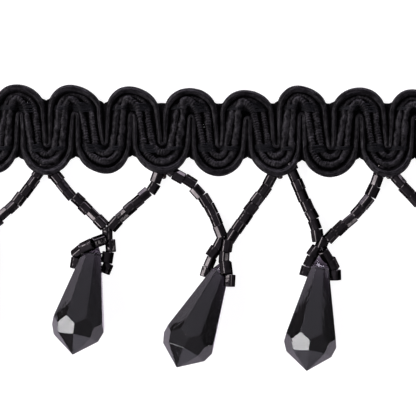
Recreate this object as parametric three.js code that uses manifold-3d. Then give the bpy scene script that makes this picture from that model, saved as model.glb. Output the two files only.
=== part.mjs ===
// A cut length of beaded fringe trim, lying face up.
//
// The heading is a scroll braid: four cords run side by side and swing up and
// down together, and two stitched rows bind them, one under the crests and one
// over the scallops. From every second scallop hangs one end of a string of cut
// beads. Each string comes down, crosses itself, loops round the neck of a
// faceted drop, passes through its cross hole and goes up to the next scallop.
//
// Millimetres. X runs along the trim, Y across it with the heading at +Y, and Z
// up from the surface that it lies on. The origin is the middle of the
// underside. The trim's swings are uneven, so each has its own row below.

import * as THREE from 'three';
import { ConvexGeometry } from 'three/addons/geometries/ConvexGeometry.js';
import { mergeVertices } from 'three/addons/utils/BufferGeometryUtils.js';
import Module from 'manifold-3d';

const wasm = await Module();
wasm.setup();

// ---------------------------------------------------------------- sizes

const CORD_Z = 1.25;             // height of the cords' centre lines
const CREST_DEPTH = 4.6;         // from a crest's outer edge to its arches' feet
const SCALLOP_DEPTH = 5.6;       // the same under a scallop
const LIMB_LEAN = 0.17;          // how far a limb leans over its half height
const CORD_FACES = 6;            // faces round a cord
const SCALLOP_LIFT = 1.2;        // a sewn scallop rides over the first beads
const LIFT_STARTS = 12.6;        // the lift begins here, below the lower row
const LIFT_FULL = 9.9;           // and is complete at the outer cord

const ROW_BACK = { width: 1.4, thick: 0.5 };     // flat back of a bound row
const ROW_POST = { along: 0.3, across: 0.75 };   // stitches down between limbs
const ROW_FRONT = { width: 0.9, thick: 0.25, z: 1.95, inset: 0.06 };   // over the face
const UPPER_ROW = 21.1;          // across position of the upper row
const LOWER_ROW = 13.95;         // and of the lower one

const BEAD = { flats: 1.62, z: 0.83 };           // six-sided cut beads
const THREAD = { radius: 0.14, z: 0.36 };        // beading thread
const THREAD_OVER = 1.27, THREAD_UNDER = 0.67;   // heights where it crosses
const SEW_LINE = 12.85;          // where the thread leaves the lower row

const DROP = {                   // faceted drop, measured from its small end
  sides: 8, length: 21.0, blunt: 0.25,
  neckAt: 2.6, neck: 1.7,        // cross hole and corner radius there
  bulgeAt: 15.0, bulge: 4.68,    // widest corners
  waistAt: 16.0, shoulderAt: 18.0, shoulder: 3.95,
  hole: 0.5, mouth: 2.1,         // mouth: where the thread enters, from the axis
};

// Upper turns of the braid: where along the trim, and the outer edge's place.
const CRESTS = [
  { at: -54.95, edge: 24.73 },
  { at: -44.97, edge: 24.64 },
  { at: -35.05, edge: 25.06 },
  { at: -25.72, edge: 24.98 },
  { at: -15.52, edge: 24.82 },
  { at: -4.50, edge: 24.52 },
  { at: 5.02, edge: 24.16 },
  { at: 14.30, edge: 24.92 },
  { at: 25.08, edge: 24.56 },
  { at: 34.42, edge: 24.20 },
  { at: 44.97, edge: 24.64 },
  { at: 54.95, edge: 24.82 },
];

// Lower turns, and whether beads are sewn under them.
const SCALLOPS = [
  { at: -50.05, edge: 9.33, sewn: true },
  { at: -38.75, edge: 9.55, sewn: false },
  { at: -29.25, edge: 9.22, sewn: true },
  { at: -18.95, edge: 9.46, sewn: false },
  { at: -9.32, edge: 9.50, sewn: true },
  { at: 0.38, edge: 9.06, sewn: false },
  { at: 11.05, edge: 9.02, sewn: true },
  { at: 19.85, edge: 8.86, sewn: false },
  { at: 30.10, edge: 8.92, sewn: true },
  { at: 40.07, edge: 9.24, sewn: false },
  { at: 50.22, edge: 9.07, sewn: true },
];

// The four cords. lane: place across a descending limb, as a share of its half
// width. crest and scallop: how far in from the outer edge the centre line
// turns. A cord that is innermost makes a tight round hairpin there. centred:
// how far the turn moves from the outer turn's place to the middle of its own
// legs. steps: segments in each quarter turn.
const CORDS = [
  { name: 'gimp_cord_upper', radius: 0.38, lane: 0.72,
    crest: 0.57, crestCentred: 0, crestSteps: 3,
    scallop: 5.15, hairpin: 'scallop', scallopCentred: 1, scallopSteps: 2 },
  { name: 'gimp_cord_inner_upper', radius: 0.4, lane: 0.24,
    crest: 2.3, crestCentred: 0.3, crestSteps: 2,
    scallop: 3.7, scallopCentred: 1, scallopSteps: 2 },
  { name: 'gimp_cord_inner_lower', radius: 0.4, lane: -0.24,
    crest: 3.5, crestCentred: 0.7, crestSteps: 2,
    scallop: 2.45, scallopCentred: 0.7, scallopSteps: 2 },
  { name: 'gimp_cord_lower', radius: 0.38, lane: -0.72,
    crest: 4.85, hairpin: 'crest', crestCentred: 1, crestSteps: 2,
    scallop: 0.57, scallopCentred: 0.3, scallopSteps: 3 },
];

// The swags. exit, knee, bend: points of each run of beads on its way down;
// meet: where the two runs cross; over: the half that lies on top there; side,
// cheek, ear: points of the loop down each side of the drop's neck, with a third
// number where the beads ride up over the drop; tip and point: the drop's small
// and pointed ends, seen from above (tip places it, and point gives its
// direction).
const SWAGS = [
  { leftScallop: 0, rightScallop: 2,
    left: { exit: [-48.30, 10.1], knee: [-46.60, 6.1], bend: [-44.20, 2.95] },
    right: { exit: [-31.32, 10.1], knee: [-33.70, 5.7], bend: [-36.60, 2.85] },
    meet: [-40.70, -0.30], over: 'left',
    loopLeft: { side: [-42.20, -2.15], cheek: [-43.75, -3.90], ear: [-45.00, -6.05] },
    loopRight: { side: [-39.55, -2.35], cheek: [-39.25, -5.00], ear: [-39.20, -7.40] },
    tip: [-41.30, -3.70], point: [-46.40, -23.45] },
  { leftScallop: 2, rightScallop: 4,
    left: { exit: [-28.17, 10.1], knee: [-26.77, 7.5], bend: [-22.09, 3.12] },
    right: { exit: [-9.80, 10.1], knee: [-10.87, 6.7], bend: [-15.22, 3.15] },
    meet: [-19.02, -0.14], over: 'right',
    loopLeft: { side: [-20.85, -1.75, 2.10], cheek: [-23.15, -2.45, 2.20], ear: [-25.55, -4.80, 0.60] },
    loopRight: { side: [-18.25, -2.70], cheek: [-18.05, -4.75], ear: [-18.30, -6.60] },
    tip: [-21.18, -1.87], point: [-24.90, -22.00] },
  { leftScallop: 4, rightScallop: 6,
    left: { exit: [-7.52, 10.1], knee: [-4.58, 8.0], bend: [-0.82, 3.34] },
    right: { exit: [9.75, 10.1], knee: [8.16, 6.4], bend: [4.55, 1.3] },
    meet: [1.85, -2.05], over: 'left',
    loopLeft: { side: [0.55, -3.85], cheek: [-0.90, -5.50], ear: [-2.32, -7.45] },
    loopRight: { side: [3.00, -4.00], cheek: [3.55, -6.40], ear: [3.35, -9.05] },
    tip: [1.77, -5.65], point: [-6.83, -24.20] },
  { leftScallop: 6, rightScallop: 8,
    left: { exit: [13.21, 10.1], knee: [14.72, 6.95], bend: [16.78, 2.33] },
    right: { exit: [28.87, 10.0], knee: [26.79, 5.4], bend: [23.21, 1.03] },
    meet: [18.83, -1.87], over: 'left',
    loopLeft: { side: [17.30, -3.45], cheek: [16.00, -5.25], ear: [15.02, -7.45] },
    loopRight: { side: [20.05, -3.60], cheek: [21.00, -5.60], ear: [21.30, -8.05] },
    tip: [18.55, -4.56], point: [15.72, -24.91] },
  { leftScallop: 8, rightScallop: 10,
    left: { exit: [31.24, 10.0], knee: [33.20, 7.1], bend: [36.20, 3.4] },
    right: { exit: [49.00, 10.1], knee: [46.50, 6.6], bend: [43.00, 3.1] },
    meet: [39.50, -0.60], over: 'left',
    loopLeft: { side: [38.10, -2.40], cheek: [37.50, -4.80], ear: [37.00, -7.35] },
    loopRight: { side: [40.95, -2.40], cheek: [42.25, -4.60], ear: [42.95, -7.00] },
    tip: [39.80, -4.10], point: [41.00, -24.55] },
];

const COLOURS = {
  cord: { color: 0x131316, roughness: 0.72, metalness: 0 },
  binding: { color: 0x15161b, roughness: 0.85, metalness: 0 },
  bead: { color: 0x0d0d10, roughness: 0.18, metalness: 0 },
  drop: { color: 0x1a1a1f, roughness: 0.12, metalness: 0 },
};

// ---------------------------------------------------------------- helpers

const V = (x, y, z = 0) => new THREE.Vector3(x, y, z);
const mix = (a, b, t) => a + (b - a) * t;
const smooth = (t) => { const s = Math.min(1, Math.max(0, t)); return s * s * (3 - 2 * s); };

// A path made of sections, each with its own number of straight segments, so a
// tight turn gets short ones and a straight limb gets one.
class SectionPath extends THREE.Curve {
  constructor(sections) {
    super();
    this.sections = sections;
    this.steps = sections.reduce((n, s) => n + s.steps, 0);
  }
  getPoint(t) {
    let at = Math.min(Math.max(t, 0), 1) * this.steps;
    for (const s of this.sections) {
      if (at <= s.steps) return s.point(at / s.steps);
      at -= s.steps;
    }
    return this.sections[this.sections.length - 1].point(1);
  }
  getPointAt(u) { return this.getPoint(u); }
  getTangentAt(u) { return this.getTangent(u); }
}

// An even polygon as an outline; a flat of it faces along -x and +x.
function polygon(sides, cornerRadius) {
  const shape = new THREE.Shape();
  for (let i = 0; i < sides; i++) {
    const a = (i + 0.5) * 2 * Math.PI / sides;
    const x = cornerRadius * Math.cos(a), y = cornerRadius * Math.sin(a);
    if (i === 0) shape.moveTo(x, y); else shape.lineTo(x, y);
  }
  shape.closePath();
  return shape;
}

// Only positions, corners merged, faces turned outward.
function closed(geometry) {
  geometry.deleteAttribute('normal');
  geometry.deleteAttribute('uv');
  const merged = mergeVertices(geometry, 1e-5);
  const p = merged.attributes.position, index = merged.index.array;
  const a = V(), b = V(), c = V();
  let volume = 0;
  for (let i = 0; i < index.length; i += 3) {
    a.fromBufferAttribute(p, index[i]);
    b.fromBufferAttribute(p, index[i + 1]);
    c.fromBufferAttribute(p, index[i + 2]);
    volume += a.dot(b.cross(c)) / 6;
  }
  if (volume < 0) {
    for (let i = 0; i < index.length; i += 3) {
      const swap = index[i]; index[i] = index[i + 1]; index[i + 1] = swap;
    }
  }
  return merged;
}

function tube(path, sides, cornerRadius, steps) {
  return closed(new THREE.ExtrudeGeometry(polygon(sides, cornerRadius), {
    steps: steps ?? path.steps, bevelEnabled: false, extrudePath: path,
  }));
}

function toSolid(geometry) {
  return new wasm.Manifold(new wasm.Mesh({
    numProp: 3,
    vertProperties: new Float32Array(geometry.attributes.position.array),
    triVerts: new Uint32Array(geometry.index.array),
  }));
}

function fromSolid(solid) {
  const mesh = solid.getMesh();
  const geometry = new THREE.BufferGeometry();
  const flat = new Float32Array(mesh.numVert * 3);
  for (let i = 0; i < mesh.numVert; i++) {
    for (let k = 0; k < 3; k++) flat[i * 3 + k] = mesh.vertProperties[i * mesh.numProp + k];
  }
  geometry.setAttribute('position', new THREE.BufferAttribute(flat, 3));
  geometry.setIndex(new THREE.BufferAttribute(new Uint32Array(mesh.triVerts), 1));
  return geometry;
}

function joined(geometries) {
  return fromSolid(geometries.map(toSolid).reduce((all, one) => all.add(one)));
}

function block(x0, x1, y0, y1, z0, z1) {
  const box = new THREE.BoxGeometry(x1 - x0, y1 - y0, z1 - z0);
  box.translate((x0 + x1) / 2, (y0 + y1) / 2, (z0 + z1) / 2);
  return closed(box);
}

const group = new THREE.Group();

function piece(name, geometry, colour) {
  geometry.computeVertexNormals();
  const mesh = new THREE.Mesh(geometry, new THREE.MeshStandardMaterial(COLOURS[colour]));
  mesh.name = name;
  group.add(mesh);
  return mesh;
}

// ---------------------------------------------------------------- the braid

// Limbs run between neighbouring turns: crest, scallop, crest, and so on.
const limbs = [];
for (let i = 0; i < SCALLOPS.length; i++) {
  limbs.push({ middle: (CRESTS[i].at + SCALLOPS[i].at) / 2, down: true });
  limbs.push({ middle: (SCALLOPS[i].at + CRESTS[i + 1].at) / 2, down: false });
}
for (let j = 0; j < limbs.length; j++) {
  const before = limbs[j - 1], after = limbs[j + 1], here = limbs[j];
  here.left = before ? (here.middle - before.middle) / 2 : (after.middle - here.middle) / 2;
  here.right = after ? (after.middle - here.middle) / 2 : here.left;
}

// Where a cord stands in a limb, at the upper or the lower level.
function lanePlace(limb, cord, upper) {
  const lane = limb.down ? cord.lane : -cord.lane;
  const lean = (limb.down ? -1 : 1) * (upper ? 1 : -1) * LIMB_LEAN;
  return limb.middle + lean + lane * (lane < 0 ? limb.left : limb.right);
}

function quarter(cx, base, reachX, reachY, from, to, steps, height) {
  return {
    steps,
    point: (s) => {
      const a = mix(from, to, s);
      const x = cx + reachX * Math.cos(a), y = base + reachY * Math.sin(a);
      return V(x, y, height(y));
    },
  };
}

function cordPath(cord) {
  const sections = [];
  const flat = () => CORD_Z;
  const legs = limbs.map((limb) => (limb.down
    ? [lanePlace(limb, cord, true), lanePlace(limb, cord, false)]
    : [lanePlace(limb, cord, false), lanePlace(limb, cord, true)]));

  // a hairpin starts where its round top just reaches its depth
  const apex = (row, upper) => row.edge + (upper ? -cord.crest : cord.scallop);
  const turnBase = (xa, xb, row, upper) => {
    if (cord.hairpin !== (upper ? 'crest' : 'scallop')) {
      return row.edge + (upper ? -CREST_DEPTH : SCALLOP_DEPTH);
    }
    const half = Math.abs(xb - xa) / 2;
    return apex(row, upper) + (upper ? -half : half);
  };
  const turn = (xa, xb, row, upper, part) => {
    const base = turnBase(xa, xb, row, upper);
    const centred = upper ? cord.crestCentred : cord.scallopCentred;
    const steps = upper ? cord.crestSteps : cord.scallopSteps;
    const apexX = mix(row.at, (xa + xb) / 2, centred);
    const height = (!upper && row.sewn)
      ? (y) => CORD_Z + SCALLOP_LIFT * smooth((LIFT_STARTS - y) / (LIFT_STARTS - LIFT_FULL))
      : flat;
    const rise = apex(row, upper) - base;
    if (part !== 'second') {
      sections.push(quarter(apexX, base, xa - apexX, rise, 0, Math.PI / 2, steps, height));
    }
    if (part !== 'first') {
      sections.push(quarter(apexX, base, xb - apexX, rise, Math.PI / 2, 0, steps, height));
    }
    return base;
  };
  const straight = (x0, y0, x1, y1) => sections.push({
    steps: 1, point: (s) => V(mix(x0, x1, s), mix(y0, y1, s), CORD_Z),
  });

  // the cut end: the first crest is cut through at its top, and so is the last
  let footX = legs[0][0];
  let base = turn(2 * CRESTS[0].at - footX, footX, CRESTS[0], true, 'second');
  SCALLOPS.forEach((scallop, i) => {
    const downEnd = legs[2 * i][1], [upStart, upTop] = legs[2 * i + 1];
    const crest = CRESTS[i + 1], last = i === SCALLOPS.length - 1;
    straight(footX, base, downEnd, turnBase(downEnd, upStart, scallop, false));
    const scallopBase = turn(downEnd, upStart, scallop, false);
    footX = last ? 2 * crest.at - upTop : legs[2 * i + 2][0];
    straight(upStart, scallopBase, upTop, turnBase(upTop, footX, crest, true));
    base = turn(upTop, footX, crest, true, last ? 'first' : 'both');
  });
  return new SectionPath(sections);
}

for (const cord of CORDS) {
  const cornerRadius = cord.radius / Math.cos(Math.PI / CORD_FACES);
  piece(cord.name, tube(cordPath(cord), CORD_FACES, Math.min(cornerRadius, cord.radius * 1.08)), 'cord');
}

// ------------------------------------------------------- the bound rows

// Each row has a flat back, stitches that come up between neighbouring limbs
// and stitches that lie across the face from one such place to the next.
function boundRow(name, across, webs) {
  const trimStart = CRESTS[0].at, trimEnd = CRESTS[CRESTS.length - 1].at;
  const half = ROW_BACK.width / 2;
  const parts = [block(trimStart, trimEnd, across - half, across + half, 0, ROW_BACK.thick)];
  for (const x of webs) {
    parts.push(block(x - ROW_POST.along / 2, x + ROW_POST.along / 2,
      across - ROW_POST.across / 2, across + ROW_POST.across / 2,
      ROW_BACK.thick / 2, ROW_FRONT.z + ROW_FRONT.thick / 2));
  }
  parts.push(block(trimStart + ROW_FRONT.inset, trimEnd - ROW_FRONT.inset,
    across - ROW_FRONT.width / 2, across + ROW_FRONT.width / 2,
    ROW_FRONT.z, ROW_FRONT.z + ROW_FRONT.thick));
  piece(name, joined(parts), 'binding');
}

const upperWebs = [], lowerWebs = [];
const outerUpper = CORDS[0], outerLower = CORDS[3];
for (let j = 0; j + 1 < limbs.length; j++) {
  const a = limbs[j], b = limbs[j + 1];
  if (a.down) upperWebs.push((lanePlace(a, outerUpper, true) + lanePlace(b, outerUpper, true)) / 2);
  else lowerWebs.push((lanePlace(a, outerLower, false) + lanePlace(b, outerLower, false)) / 2);
}
boundRow('binding_row_upper', UPPER_ROW, upperWebs);
boundRow('binding_row_lower', LOWER_ROW, lowerWebs);

// ---------------------------------------------------------------- the drops

// Radius from the axis to the middle of a long facet, at a distance from the
// small end. The long facets run on past the widest corners to the waist.
const facetShare = Math.cos(Math.PI / DROP.sides);
const facetSlope = (DROP.bulge - DROP.neck) * facetShare / (DROP.bulgeAt - DROP.neckAt);
const facetRadius = (a) => DROP.neck * facetShare + facetSlope * (a - DROP.neckAt);
const lie = Math.atan(facetSlope);           // it lies on a long facet

function ring(a, radius, cornerTurn) {
  const points = [];
  for (let i = 0; i < DROP.sides; i++) {
    const turn = (i + cornerTurn) * 2 * Math.PI / DROP.sides;
    points.push(V(a, radius * Math.sin(turn), radius * Math.cos(turn)));
  }
  return points;
}

// The drop by itself: axis along +x from the small end, a long facet below.
function dropSolid() {
  const points = [
    ...ring(0, DROP.blunt, 0.5),
    ...ring(DROP.neckAt, DROP.neck, 0.5),
    ...ring(DROP.bulgeAt, DROP.bulge, 0.5),
    ...ring(DROP.waistAt, facetRadius(DROP.waistAt), 0),
    ...ring(DROP.shoulderAt, DROP.shoulder, 0),
    V(DROP.length, 0, 0),
  ];
  const body = toSolid(closed(new ConvexGeometry(points)));
  const bore = new THREE.LineCurve3(V(DROP.neckAt, -3, 0), V(DROP.neckAt, 3, 0));
  return fromSolid(body.subtract(toSolid(tube(bore, 8, DROP.hole, 1))));
}

// Placed: turned down onto its facet, then turned to its direction.
function placeDrop(mesh, swag) {
  const [tx, ty] = swag.tip, [px, py] = swag.point;
  const heading = Math.atan2(py - ty, px - tx);
  mesh.rotation.set(0, 0, 0);
  const turn = new THREE.Matrix4().makeRotationZ(heading)
    .multiply(new THREE.Matrix4().makeRotationY(-lie));
  mesh.quaternion.setFromRotationMatrix(turn);
  // height of the small end's axis point above the facet's plane
  mesh.position.set(tx, ty, facetRadius(0) * Math.cos(lie));
  return heading;
}

// The bore's middle: the axis point at the neck of a placed drop.
function boreMiddle(swag, along) {
  const a = DROP.neckAt, start = facetRadius(0) * Math.cos(lie);
  const flat = a * Math.cos(lie);
  return [swag.tip[0] + along.x * flat, swag.tip[1] + along.y * flat, start + a * Math.sin(lie)];
}

// ---------------------------------------------------------------- the swags

// One half of a swag: the thread leaves the lower row, carries the run of beads
// to the crossing, and goes on down the other side of the loop to the drop.
function strandHalf(name, run, meet, crossing, loop, sewX, mouth, inside) {
  const z = BEAD.z;
  const at = (p) => V(p[0], p[1], z + (p[2] ?? 0));
  const exit = at(run.exit), knee = at(run.knee), bend = at(run.bend);
  const side = at(loop.side), cheek = at(loop.cheek), ear = at(loop.ear);
  const cross = V(...meet, crossing);
  const corner = BEAD.flats / 2 / Math.cos(Math.PI / 6);
  const stop = at(meet).add(bend.clone().sub(at(meet)).setLength(1.75));
  const beadsDown = new THREE.CatmullRomCurve3([exit, knee, bend, stop], false, 'centripetal');
  const beadsLoop = new THREE.CatmullRomCurve3([side, cheek, ear], false, 'centripetal');
  const behind = new THREE.CatmullRomCurve3(
    [V(sewX, SEW_LINE, THREAD.z), V(mix(sewX, exit.x, 0.6), exit.y + 1.0, THREAD.z + 0.06),
      exit, knee], false, 'centripetal');
  const across = new THREE.CatmullRomCurve3([bend, stop, cross, side, cheek], false, 'centripetal');
  const through = new THREE.CatmullRomCurve3([cheek, ear, mouth, inside], false, 'centripetal');
  piece(name, joined([
    tube(beadsDown, 6, corner, 7),
    tube(beadsLoop, 6, corner, 4),
    tube(behind, 4, THREAD.radius, 6),
    tube(across, 4, THREAD.radius, 9),
    tube(through, 4, THREAD.radius, 7),
  ]), 'bead');
}

SWAGS.forEach((swag, i) => {
  const n = i + 1;
  const drop = piece(`drop_${n}`, dropSolid(), 'drop');
  const heading = placeDrop(drop, swag);
  const along = V(Math.cos(heading), Math.sin(heading)), sideways = V(-along.y, along.x);
  const toLeft = sideways.x < 0 ? sideways : sideways.clone().negate();
  // the middle of the cross hole, in which the two halves of the thread meet
  const middle = V(...boreMiddle(swag, along));
  const off = (d) => middle.clone().add(toLeft.clone().multiplyScalar(d));
  const [left, right] = swag.over === 'left' ? [THREAD_OVER, THREAD_UNDER] : [THREAD_UNDER, THREAD_OVER];
  strandHalf(`bead_strand_${n}_left`, swag.left, swag.meet, left, swag.loopRight,
    SCALLOPS[swag.leftScallop].at + 0.9, off(-DROP.mouth), off(-0.32));
  strandHalf(`bead_strand_${n}_right`, swag.right, swag.meet, right, swag.loopLeft,
    SCALLOPS[swag.rightScallop].at - 0.9, off(DROP.mouth), off(0.32));
});

export default group;
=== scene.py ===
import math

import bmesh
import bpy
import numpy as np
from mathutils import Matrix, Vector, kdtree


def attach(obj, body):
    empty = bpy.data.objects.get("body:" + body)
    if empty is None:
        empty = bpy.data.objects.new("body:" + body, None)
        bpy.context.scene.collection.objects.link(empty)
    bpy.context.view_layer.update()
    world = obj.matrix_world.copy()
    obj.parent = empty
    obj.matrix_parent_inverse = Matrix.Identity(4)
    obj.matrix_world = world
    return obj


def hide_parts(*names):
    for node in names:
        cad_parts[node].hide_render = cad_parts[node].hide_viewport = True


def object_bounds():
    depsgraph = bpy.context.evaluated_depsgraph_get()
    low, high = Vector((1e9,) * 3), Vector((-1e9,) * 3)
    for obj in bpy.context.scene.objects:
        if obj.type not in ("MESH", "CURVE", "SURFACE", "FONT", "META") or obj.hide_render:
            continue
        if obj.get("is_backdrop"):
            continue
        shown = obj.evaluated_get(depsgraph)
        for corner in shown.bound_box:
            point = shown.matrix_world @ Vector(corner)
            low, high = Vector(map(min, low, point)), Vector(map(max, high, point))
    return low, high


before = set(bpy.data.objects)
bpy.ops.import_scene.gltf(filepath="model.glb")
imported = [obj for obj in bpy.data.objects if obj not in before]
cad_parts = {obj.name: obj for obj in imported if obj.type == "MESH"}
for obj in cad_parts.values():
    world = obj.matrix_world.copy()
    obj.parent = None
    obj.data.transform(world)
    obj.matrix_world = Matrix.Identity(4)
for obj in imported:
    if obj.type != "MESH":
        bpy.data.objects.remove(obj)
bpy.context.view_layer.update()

# Looks of a cut length of beaded fringe trim, lying face up on a white table.
#
# Everything is laid out in millimetres and turned into metres when a mesh is
# made. X runs along the trim, Y across it with the braid at +Y, and Z is up.
# The tables of turns, swags and drops are those of the CAD part.

MM = 0.001
TAU = 2 * math.pi

# ------------------------------------------------------------------ sizes

CREST_DEPTH = 4.6                # from a crest's outer edge to its arches' feet
SCALLOP_DEPTH = 5.6              # the same under a scallop
SCALLOP_LIFT = 1.2               # a sewn scallop rides over the first beads
LIFT_STARTS, LIFT_FULL = 12.6, 9.9
UPPER_ROW, LOWER_ROW = 21.1, 13.95

BEAD_Z = 0.83
THREAD_Z, THREAD_OVER, THREAD_UNDER, SEW_LINE = 0.36, 1.27, 0.67, 12.85

SIDES, LENGTH, BLUNT = 8, 21.0, 0.25
NECK_AT, NECK, BULGE_AT, BULGE = 2.6, 1.7, 15.0, 4.68
SHOULDER_AT, SHOULDER, HOLE, MOUTH = 18.0, 3.95, 0.5, 2.1

CRESTS = [(-54.95, 24.73), (-44.97, 24.64), (-35.05, 25.06), (-25.72, 24.98),
          (-15.52, 24.82), (-4.50, 24.52), (5.02, 24.16), (14.30, 24.92),
          (25.08, 24.56), (34.42, 24.20), (44.97, 24.64), (54.95, 24.82)]
SCALLOPS = [(-50.05, 9.33, True), (-38.75, 9.55, False), (-29.25, 9.22, True),
            (-18.95, 9.46, False), (-9.32, 9.50, True), (0.38, 9.06, False),
            (11.05, 9.02, True), (19.85, 8.86, False), (30.10, 8.92, True),
            (40.07, 9.24, False), (50.22, 9.07, True)]

# roll: degrees that a drop lies turned about its own length.
SWAGS = [
    dict(scallops=(0, 2), tip=(-41.30, -3.70), point=(-46.40, -23.45), roll=4),
    dict(scallops=(2, 4), tip=(-21.18, -1.87), point=(-24.90, -22.00), roll=6),
    dict(scallops=(4, 6), tip=(1.77, -5.65), point=(-6.83, -24.20), roll=6),
    dict(scallops=(6, 8), tip=(18.55, -4.56), point=(15.72, -24.91), roll=3.5),
    dict(scallops=(8, 10), tip=(39.80, -4.10), point=(41.00, -24.55), roll=-3),
]

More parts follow.
